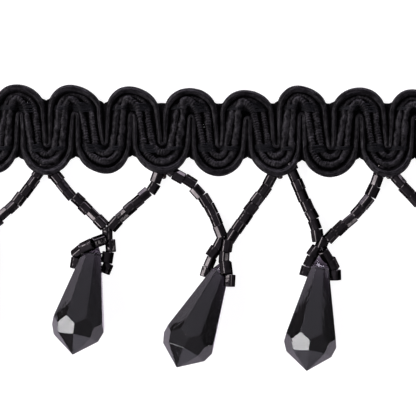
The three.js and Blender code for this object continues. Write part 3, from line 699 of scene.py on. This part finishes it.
def closer_in_turns(track, step, fine):
    """Even steps along a track, and shorter ones where it turns tightly."""
    tangent = unit(np.gradient(track[:, :2], axis=0))
    bend = np.linalg.norm(np.gradient(tangent, axis=0), axis=1) / 0.05
    density = 1 / np.where(blurred(bend, 6) > 0.8, fine, step)
    effort = np.concatenate([[0], np.cumsum((density[1:] + density[:-1]) / 2 * 0.05)])
    at = np.linspace(0, effort[-1], int(effort[-1]) + 1)
    return np.stack([np.interp(at, effort, track[:, c]) for c in range(track.shape[1])], 1)


def make_cord(cord, seed):
    facts = CORDS[cord]
    rng = np.random.default_rng(seed)
    track = TRACKS[cord]
    ribbed = facts["ribbed"]
    if ribbed:
        step, sides = 0.075, 16
        track, s = resampled(track, step)
    else:
        step, sides = 0.2, 40
        track = closer_in_turns(track, step, 0.1)
        s = arc_lengths(track[:, :3])
    n = len(track)
    points, w, h = track[:, :3].copy(), track[:, 3].copy(), track[:, 4].copy()
    _, side, _ = frames(points)
    points += side * (wander(rng, n, step, 1.6) * 0.045)[:, None]
    points[:, 2] += wander(rng, n, step, 2.2) * 0.04
    w *= 1 + 0.05 * wander(rng, n, step, 1.2)
    h *= 1 + 0.05 * wander(rng, n, step, 1.2)
    turn = np.arange(sides) / sides
    if ribbed:
        # wound thread: deep rings going down a limb, drawn flat going up
        heading = np.gradient(points[:, 1]) / np.maximum(np.gradient(s), 1e-6)
        going_down = blurred(np.clip(-1.4 * heading - 0.15, 0, 1), 8)
        pitch = 0.47 * (1 + 0.07 * wander(rng, n, step, 3.0))
        phase = np.cumsum(step / pitch)
        strength = (0.32 + 1.1 * going_down) * np.clip(1.0 + 0.3 * wander(rng, n, step, 1.5), 0.4, 1.5)
        groove = 1 - np.abs(np.sin(math.pi * (phase[:, None] + 0.3 * np.sin(turn * TAU)[None, :])))
        shape = 1.04 - 0.24 * strength[:, None] * groove ** 1.25
        # slubs
        lumps = blurred(rng.normal(size=(n, sides)), 3.2)
        lumps = lumps + 0.6 * (np.roll(lumps, 1, 1) + np.roll(lumps, -1, 1))
        shape += lumps / lumps.std() * 0.085 * (1.15 - 0.3 * going_down[:, None])
        shape += 0.045 * wander(rng, n, step, 0.5)[:, None]
    else:
        # a flat bundle of strands with a slow twist
        strands = 6
        u = (turn[None, :] * strands + s[:, None] / 21.0 + 0.25 * wander(rng, n, step, 3.0)[:, None]) % 1.0
        shape = 0.81 + 0.22 * np.sqrt(np.clip(1 - (2 * u - 1) ** 2 * 0.98, 0, 1))
        ridges = blurred(rng.normal(size=(n, strands)), 9)
        ridges = ridges / ridges.std()
        which = np.floor(turn[None, :] * strands + s[:, None] / 21.0
                         + 0.25 * wander(rng, n, step, 3.0)[:, None]).astype(int) % strands
        shape += 0.03 * np.take_along_axis(ridges, which, 1)
        shape += 0.016 * wander(rng, n, step, 0.4)[:, None]
    pile = Pile()
    tube(pile, points, w, h, sides, shape, along=s, round_caps=0.05,
         spread=pressed_out(cord, points, w))
    piece = pile.build("cord_" + facts["node"].replace("gimp_cord_", ""),
                       [RIBBED_CORD if ribbed else SMOOTH_CORD])
    return finished(piece, "gimp_cord", facts["node"])


TRACKS = {cord: cord_track(cord) for cord in CORDS}
TREE_FACTS = []
for cord, track in TRACKS.items():
    lengths = arc_lengths(track[:, :3])
    TREE_FACTS += [(cord, track[k, 3], lengths[k], track[k, 0], track[k, 1]) for k in range(0, len(track), 4)]
TREE = kdtree.KDTree(len(TREE_FACTS))
for k, fact in enumerate(TREE_FACTS):
    TREE.insert((fact[3], fact[4], 0), k)
TREE.balance()
TREE_FACTS = [fact[:3] for fact in TREE_FACTS]
for index, cord in enumerate(CORDS):
    make_cord(cord, 100 + index)

# ------------------------------------------------------------------ bound rows


def crossings(cord, y):
    """Where a cord's centre line crosses a line along the trim: x, z, half width, half height."""
    track = TRACKS[cord]
    out = []
    for k in np.nonzero((track[:-1, 1] - y) * (track[1:, 1] - y) < 0)[0]:
        t = (y - track[k, 1]) / (track[k + 1, 1] - track[k, 1])
        out.append(track[k] * (1 - t) + track[k + 1] * t)
    return out


def row_knots(y, over, under, middles, valleys):
    """Height of a row's face along X: over some cords and under others, and how
    far it is spread across: wide on the limbs that go down, gathered on the rest."""
    knots = []
    for cord in over:
        for c in crossings(cord, y):
            going_down = c[6] > 0
            for d in (-0.4, 0.4):
                knots.append((c[0] + d * c[3], c[2] + c[4] * 0.93, 1.0 if going_down else 0.45))
    for cord in under:
        for c in crossings(cord, y):
            knots += [(c[0] - 0.3 * c[3], 0.24, 0.7), (c[0] + 0.3 * c[3], 0.24, 0.7)]
    knots += [(x, 0.24, 0.6) for x in middles] + [(x, 0.28, 0.9) for x in valleys]
    return np.array(sorted(knots))


def make_row(name, node, y, over, under, middles, valleys, wide, back, seed):
    rng = np.random.default_rng(seed)
    start, end = CRESTS[0][0] + 0.06, CRESTS[-1][0] - 0.06
    pile = Pile()
    step = 0.16
    n = int((end - start) / step) + 1
    x = np.linspace(start, end, n)
    count, radius = 8, 0.092
    drift = 0.06 * wander(rng, n, step, 2.5)
    for k in range(count):
        place = (k - (count - 1) / 2) / (count - 1)
        knots = row_knots(y + place * wide, over, under, middles, valleys)
        z = np.interp(x, knots[:, 0], knots[:, 1])
        spread = blurred(np.interp(x, knots[:, 0], knots[:, 2]), 3)
        z = blurred(z, 1.8) + radius * 0.5 + 0.025 * wander(rng, n, step, 0.6) \
            + (1 - spread) * rng.uniform(0, 0.12)
        yy = y + place * wide * spread + drift + 0.05 * wander(rng, n, step, 1.6) \
            + 0.02 * wander(rng, n, step, 0.5)
        tube(pile, np.stack([x, yy, np.maximum(z, 0.2)], 1), radius, radius, 6, round_caps=0.02)
    radius = 0.125
    for offset in np.arange(back[0], back[1] + 0.01, 0.2):
        z = np.maximum(0.15 + 0.012 * wander(rng, n, step, 0.8), radius + 0.01)
        yy = y + offset + 0.01 * wander(rng, n, step, 0.9)
        tube(pile, np.stack([x, yy, z], 1)[::2], radius, radius * 0.9, 6, round_caps=0.02)
    return finished(pile.build(name, [BINDING]), "binding_thread", node)


for cord, track in TRACKS.items():
    falling = -np.sign(np.gradient(track[:, 1]))
    TRACKS[cord] = np.column_stack([track, falling])
make_row("row_upper", "binding_row_upper", UPPER_ROW, "CD", "A",
         [c[0] + 0.25 for c in CRESTS[1:-1]], [s[0] for s in SCALLOPS], 1.45, (-2.0, 0.6), 201)
make_row("row_lower", "binding_row_lower", LOWER_ROW, "CD", "B",
         [s[0] for s in SCALLOPS], [c[0] for c in CRESTS[1:-1]], 1.2, (-0.6, 1.6), 202)

# ------------------------------------------------------------------ drops

FACET_SHARE = math.cos(math.pi / SIDES)
FACET_SLOPE = (BULGE - NECK) * FACET_SHARE / (BULGE_AT - NECK_AT)
LIE = math.atan(FACET_SLOPE)
# where a long facet ends in a point between two of the five-sided facets
SHOULDER_SLOPE = (BULGE - SHOULDER * FACET_SHARE) / (SHOULDER_AT - BULGE_AT)
WAIST_AT = (BULGE / FACET_SHARE + SHOULDER_SLOPE / FACET_SHARE * BULGE_AT - NECK * FACET_SHARE
            + FACET_SLOPE * NECK_AT) / (FACET_SLOPE + SHOULDER_SLOPE / FACET_SHARE)


def facet_radius(a):
    return NECK * FACET_SHARE + FACET_SLOPE * (a - NECK_AT)


def ring_points(a, radius, corner_turn):
    turns = [(i + corner_turn) * TAU / SIDES for i in range(SIDES)]
    return [(a, radius * math.sin(t), radius * math.cos(t)) for t in turns]


def drop_mesh(name):
    """Axis along +x from the small end, a long facet below, with soft edges and a cross hole."""
    points = [*ring_points(0, BLUNT, 0.5), *ring_points(NECK_AT, NECK, 0.5),
              *ring_points(BULGE_AT, BULGE, 0.5), *ring_points(WAIST_AT, facet_radius(WAIST_AT), 0),
              *ring_points(SHOULDER_AT, SHOULDER, 0), (LENGTH, 0, 0)]
    bm = bmesh.new()
    for q in points:
        bm.verts.new([c * MM for c in q])
    bmesh.ops.convex_hull(bm, input=bm.verts[:])
    bmesh.ops.dissolve_limit(bm, angle_limit=math.radians(0.8), verts=bm.verts[:], edges=bm.edges[:])
    bmesh.ops.bevel(bm, geom=bm.edges[:] + bm.verts[:], offset=0.05 * MM, segments=2, profile=0.6,
                    affect="EDGES", clamp_overlap=True)
    bmesh.ops.recalc_face_normals(bm, faces=bm.faces[:])
    body = bpy.data.meshes.new(name + "_body")
    bm.to_mesh(body)
    bm.free()
    cutter = bmesh.new()
    bmesh.ops.create_cone(cutter, cap_ends=True, segments=24, radius1=HOLE * MM, radius2=HOLE * MM,
                          depth=6 * MM, matrix=Matrix.Translation((NECK_AT * MM, 0, 0))
                          @ Matrix.Rotation(math.pi / 2, 4, "X"))
    bore = bpy.data.meshes.new(name + "_bore")
    cutter.to_mesh(bore)
    cutter.free()
    a, b = bpy.data.objects.new(name + "_body", body), bpy.data.objects.new(name + "_bore", bore)
    for o in (a, b):
        bpy.context.scene.collection.objects.link(o)
    cut = a.modifiers.new("bore", "BOOLEAN")
    cut.operation, cut.solver, cut.object = "DIFFERENCE", "EXACT", b
    bpy.context.view_layer.update()
    mesh = bpy.data.meshes.new_from_object(a.evaluated_get(bpy.context.evaluated_depsgraph_get()))
    for o in (a, b):
        bpy.data.objects.remove(o)
    mesh.name = name
    return mesh


DROP_MESH = drop_mesh("drop_shape")


def drop_place(swag):
    (tx, ty), (px, py) = swag["tip"], swag["point"]
    heading = math.atan2(py - ty, px - tx)
    lift = facet_radius(0) * math.cos(LIE)
    # its thread turns it a little off its facet, on to the edge beside it
    roll = math.radians(swag["roll"])
    raised = 0.02 * abs(swag["roll"])
    place = Matrix.Translation((tx * MM, ty * MM, (lift + raised) * MM)) \
        @ Matrix.Rotation(heading, 4, "Z") @ Matrix.Rotation(-LIE, 4, "Y") @ Matrix.Rotation(roll, 4, "X")
    return place, heading, lift


for number, swag in enumerate(SWAGS, 1):
    place, heading, lift = drop_place(swag)
    mesh = DROP_MESH.copy()
    mesh.name = f"faceted_drop_{number}"
    mesh.transform(place)
    mesh.materials.clear()
    mesh.materials.append(DROP_ACRYLIC)
    for polygon in mesh.polygons:
        polygon.use_smooth = False
    piece = bpy.data.objects.new(f"faceted_drop_{number}", mesh)
    bpy.context.scene.collection.objects.link(piece)
    finished(piece, "drop", f"drop_{number}")

# ------------------------------------------------------------------ beads

BEAD_LENGTH, BEAD_FLATS, BEAD_BORE = 1.82, 1.91, 0.34


def bead_shape():
    """A six-sided cut bead: narrow ground edges, flat ends and a bore, axis along x.

    Its facets stand at 0, 60 and so on from its own up."""
    corner = BEAD_FLATS / 2 / math.cos(math.pi / 6)
    outline = []
    for i in range(6):
        a = (i + 0.5) * TAU / 6
        for d, r in ((-0.22, 0.9075), (-0.11, 0.926), (0.0, 0.932), (0.11, 0.926), (0.22, 0.9075)):
            outline.append((math.cos(a + d) * r * corner, math.sin(a + d) * r * corner))
    outline = np.array(outline)
    circle = unit(outline) * BEAD_BORE
    half = BEAD_LENGTH / 2
    rows = []
    for sign in (-1, 1):
        rows.append([(sign * (half - 0.25), circle), (sign * (half - 0.04), circle * 1.1),
                     (sign * half, circle * 1.35), (sign * half, outline * 0.88),
                     (sign * (half - 0.03), outline * 0.95), (sign * (half - 0.1), outline)])
    chain = rows[0] + rows[1][::-1]
    verts = np.concatenate([np.column_stack([np.full(len(o), x), o[:, 1], o[:, 0]]) for x, o in chain])
    m = len(outline)
    faces = []
    for r in range(len(chain)):
        q = (r + 1) % len(chain)
        for k in range(m):
            l = (k + 1) % m
            faces.append((r * m + k, q * m + k, q * m + l, r * m + l))
    return verts, np.array(faces)


BEAD_VERTS, BEAD_FACES = bead_shape()


def put_bead(pile, middle, direction, roll, size=(1.0, 1.0), mat=0):
    x = unit(np.asarray(direction, float))
    side = unit(np.array([-x[1], x[0], 0.0]))
    up = np.cross(x, side)
    c, s = math.cos(roll), math.sin(roll)
    basis = np.stack([x * size[0], (side * c - up * s) * size[1], (up * c + side * s) * size[1]])
    verts = BEAD_VERTS @ basis + np.asarray(middle, float)
    # a bead that would sink into the table rests on it
    verts[:, 2] += max(0.01 - verts[:, 2].min(), 0)
    pile.add(verts, BEAD_FACES, None, mat, smooth=False)


def strand(number, which, sew_x, mouth, inside):
    """One half of a swag: its thread, from the sewn row to the drop's bore, and its beads."""
    rng = np.random.default_rng(300 + number * 2 + (which == "right"))
    shake = np.random.default_rng(700 + number * 2 + (which == "right"))
    beads = BEADS[number - 1, which]
    pile = Pile()
    route = [(sew_x, SEW_LINE, THREAD_Z)]
    for k, (x, y, z, turn, rise, roll) in enumerate(beads):
        a = math.radians(turn + rng.uniform(-2.5, 2.5) + shake.uniform(-3, 3))
        b = math.radians(rise + rng.uniform(-2, 2))
        direction = np.array([math.cos(a) * math.cos(b), math.sin(a) * math.cos(b), math.sin(b)])
        middle = np.array([x, y, z])
        # it reaches half way to each of its neighbours, and touches them
        half = [np.linalg.norm(np.subtract(beads[j][:3], beads[k][:3])) / 2 if 0 <= j < len(beads) else 0.91
                for j in (k - 1, k + 1)]
        before, after = np.clip(half, 0.8, 1.18)
        if k == 0:
            # the first one ends where the lifted scallop still covers it
            before = min(before, max(0.4, (11.4 - y) / max(abs(direction[1]), 0.3)))
        middle = middle + direction * (after - before) / 2
        # and sits a little to one side of its thread, less so where the swag meets the drop
        aside = unit(np.array([-direction[1], direction[0], 0.0]))
        middle = middle + aside * shake.uniform(-1, 1) * (0.17 if 0 < k < len(beads) - 4 else 0.05)
        size = ((before + after + 0.03) / BEAD_LENGTH, 1 + rng.uniform(-0.08, 0.08))
        put_bead(pile, middle, direction, math.radians(roll), size)
        route += [middle - direction * 0.72, middle + direction * 0.72]
    route += [mouth, inside]
    track, s = resampled(catmull(route, 12), 0.2)
    tube(pile, track, 0.13, 0.13, 8, mat=1, along=s, round_caps=0.03)
    materials = [BEAD_GLASS, THREAD]
    if which == "left":
        # the knot where two halves are sewn under one scallop
        materials.append(PALE_THREAD)
        t = np.linspace(0, 1, 90)
        knot = np.stack([SCALLOPS[SWAGS[number - 1]["scallops"][0]][0] + 0.2 + 0.36 * np.cos(t * 31),
                         9.05 + 0.22 * np.sin(t * 31) + 0.2 * np.sin(t * 9),
                         0.75 + 0.22 * np.sin(t * 22)], 1)
        tube(pile, knot, 0.095, 0.095, 6, mat=2, round_caps=0.03)
    piece = pile.build(f"strand_{number}_{which}", materials)
    return finished(piece, "cut_bead", f"bead_strand_{number}_{which}")


for number, swag in enumerate(SWAGS, 1):
    place, heading, lift = drop_place(swag)
    along = np.array([math.cos(heading), math.sin(heading), 0])
    sideways = np.array([-along[1], along[0], 0])
    to_left = sideways if sideways[0] < 0 else -sideways
    middle = np.array([swag["tip"][0] + along[0] * NECK_AT * math.cos(LIE),
                       swag["tip"][1] + along[1] * NECK_AT * math.cos(LIE),
                       lift + NECK_AT * math.sin(LIE)])
    first, last = swag["scallops"]
    strand(number, "left", SCALLOPS[first][0] + 0.9, middle - to_left * MOUTH, middle - to_left * 0.32)
    strand(number, "right", SCALLOPS[last][0] - 0.9, middle + to_left * MOUTH, middle + to_left * 0.32)

# ------------------------------------------------------------------ studio


def plane(name, size, at, material, facing=None):
    mesh = bpy.data.meshes.new(name)
    a, b = size[0] / 2, size[1] / 2
    mesh.from_pydata([(-a, -b, 0), (a, -b, 0), (a, b, 0), (-a, b, 0)], [], [(0, 1, 2, 3)])
    mesh.materials.append(material)
    made = bpy.data.objects.new(name, mesh)
    bpy.context.scene.collection.objects.link(made)
    made.location = at
    if facing is not None:
        made.rotation_euler = (Vector(facing) - Vector(at)).to_track_quat("Z", "Y").to_euler()
    made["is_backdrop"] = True
    return made


table, g, p, out = shader("table")
p.inputs["Base Color"].default_value = rgb(0.36, 0.36, 0.36)
p.inputs["Roughness"].default_value = 0.9
p.inputs["Specular IOR Level"].default_value = 0.0
p.inputs["Emission Color"].default_value = rgb(1, 1, 1)
p.inputs["Emission Strength"].default_value = 0.9
# painted light: gloss sees a table that glows by emission, painted bright near the trim and dark further off
dull = g.node("ShaderNodeBsdfDiffuse")
dull.inputs["Color"].default_value = rgb(0.05, 0.045, 0.053)
painted_light_pool = g.node("ShaderNodeEmission")
painted_light_pool.inputs["Color"].default_value = rgb(1.0, 0.9, 1.06)
reach = g.node("ShaderNodeVectorMath", operation="LENGTH")
g.feed(reach.inputs[0], g.place())
g.feed(painted_light_pool.inputs["Strength"], g.remap(reach.outputs["Value"], 0.05, 0.11, 0.82, 0.06))
both = g.node("ShaderNodeAddShader")
g.tree.links.new(dull.outputs["BSDF"], both.inputs[0])
g.tree.links.new(painted_light_pool.outputs["Emission"], both.inputs[1])
path = g.node("ShaderNodeLightPath")
choose = g.node("ShaderNodeMixShader")
g.feed(choose.inputs[0], path.outputs["Is Glossy Ray"])
g.tree.links.new(p.outputs["BSDF"], choose.inputs[1])
g.tree.links.new(both.outputs["Shader"], choose.inputs[2])
g.tree.links.new(choose.outputs["Shader"], out.inputs["Surface"])
plane("floor", (8, 8), (0, 0, -0.00004), table)

world = bpy.data.worlds.new("studio")
bpy.context.scene.world = world
world.use_nodes = True
world.node_tree.nodes.clear()
g = Graph(world.node_tree)
background = g.node("ShaderNodeBackground")
world_out = g.node("ShaderNodeOutputWorld")
world.node_tree.links.new(background.outputs["Background"], world_out.inputs["Surface"])
background.inputs["Color"].default_value = rgb(1, 1, 1)
# An even white for the eye and for matt surfaces. Gloss sees the studio: a
# bright back and left, a low bright front, and a dark right side.
split = g.node("ShaderNodeSeparateXYZ")
direction = g.node("ShaderNodeTexCoord").outputs["Generated"]
g.feed(split.inputs[0], direction)
dx, dy, dz = split.outputs["X"], split.outputs["Y"], split.outputs["Z"]


def mask(value, low, high):
    made = g.node("ShaderNodeMapRange", interpolation_type="SMOOTHSTEP", clamp=True)
    g.feed(made.inputs["Value"], value)
    made.inputs["From Min"].default_value, made.inputs["From Max"].default_value = low, high
    return made.outputs["Result"]


def level(share, below, above):
    """Moves from one level to another by a share."""
    return g.calc("ADD", g.calc("MULTIPLY", share, above),
                  g.calc("MULTIPLY", g.calc("SUBTRACT", 1.0, share), below))


left, right = mask(dx, -0.12, -0.45), mask(dx, 0.12, 0.38)
back, front = mask(dy, 0.30, 0.48), mask(dy, -0.30, -0.55)
low = mask(dz, 0.42, 0.22)
glow = level(left, 0.52, 0.61)
glow = level(mask(dz, 0.84, 0.95), glow, 0.45)
glow = level(low, glow, 0.44)
glow = level(right, glow, 0.22)
glow = level(g.calc("MULTIPLY", back, level(right, 1.0, 0.1)), glow, level(low, 0.6, 0.45))
glow = level(g.calc("MULTIPLY", front, mask(dz, 0.5, 0.2)), glow, 1.08)
glow = g.calc("MULTIPLY", glow, g.remap(g.noise(direction, 3.2, 3, 0.55), 0.36, 0.64, 0.6, 1.35))
# a low lamp behind shows in the small ends of the drops
glow = level(g.calc("MULTIPLY", mask(dy, 0.5, 0.8), mask(dz, 0.34, 0.22)), glow, 9.0)
path = g.node("ShaderNodeLightPath")
g.feed(background.inputs["Strength"],
       level(path.outputs["Is Glossy Ray"], level(path.outputs["Is Diffuse Ray"], 1.0, 0.26), glow))
g.feed(background.inputs["Color"],
       g.tint(g.calc("ADD", path.outputs["Is Glossy Ray"], path.outputs["Is Diffuse Ray"], clamp=True),
              rgb(1, 1, 1), rgb(0.97, 0.89, 1.09)))


def area(name, direction, distance, size, radiance, color=(1, 1, 1)):
    """A soft box in a direction from the trim, aimed at it, by its radiance."""
    data = bpy.data.lights.new(name, "AREA")
    data.shape = "RECTANGLE"
    data.size, data.size_y = size
    data.energy = radiance * math.pi * size[0] * size[1]
    data.color = color
    # a clouded cover, so that what mirrors it isn't one flat white
    data.use_nodes = True
    cover = Graph(data.node_tree)
    emission = next(n for n in data.node_tree.nodes if n.bl_idname == "ShaderNodeEmission")
    cloud = cover.noise(cover.node("ShaderNodeNewGeometry").outputs["Position"], 16.0, 3, 0.6)
    cover.feed(emission.inputs["Strength"], cover.remap(cloud, 0.38, 0.62, 0.5, 1.35))
    lamp = bpy.data.objects.new(name, data)
    bpy.context.scene.collection.objects.link(lamp)
    d = Vector(direction).normalized()
    lamp.location = d * distance
    across = Vector((0, 1, 0)).cross(d).normalized()
    # its length lies along Y
    lamp.rotation_euler = Matrix((across, d.cross(across), d)).transposed().to_euler()
    return lamp


# two long soft boxes in line at the left, with a gap between them
area("key_front", (-1.02, -0.532, 0.761), 1.379, (0.4, 0.99), 13.0, (1.0, 0.95, 1.0))
area("key_back", (-1.073, 0.616, 0.805), 1.476, (0.4, 0.81), 13.0, (1.0, 0.95, 1.0))
# a narrow one at the right draws fine lines along the beads' edges
area("edge", (0.80, -0.12, 0.56), 1.3, (0.15, 2.0), 4.5, (1.0, 0.96, 1.02))

scene = bpy.context.scene
scene.view_settings.view_transform = "Standard"
scene.view_settings.look = "None"
scene.view_settings.exposure = 0
scene.view_settings.gamma = 1

low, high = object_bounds()
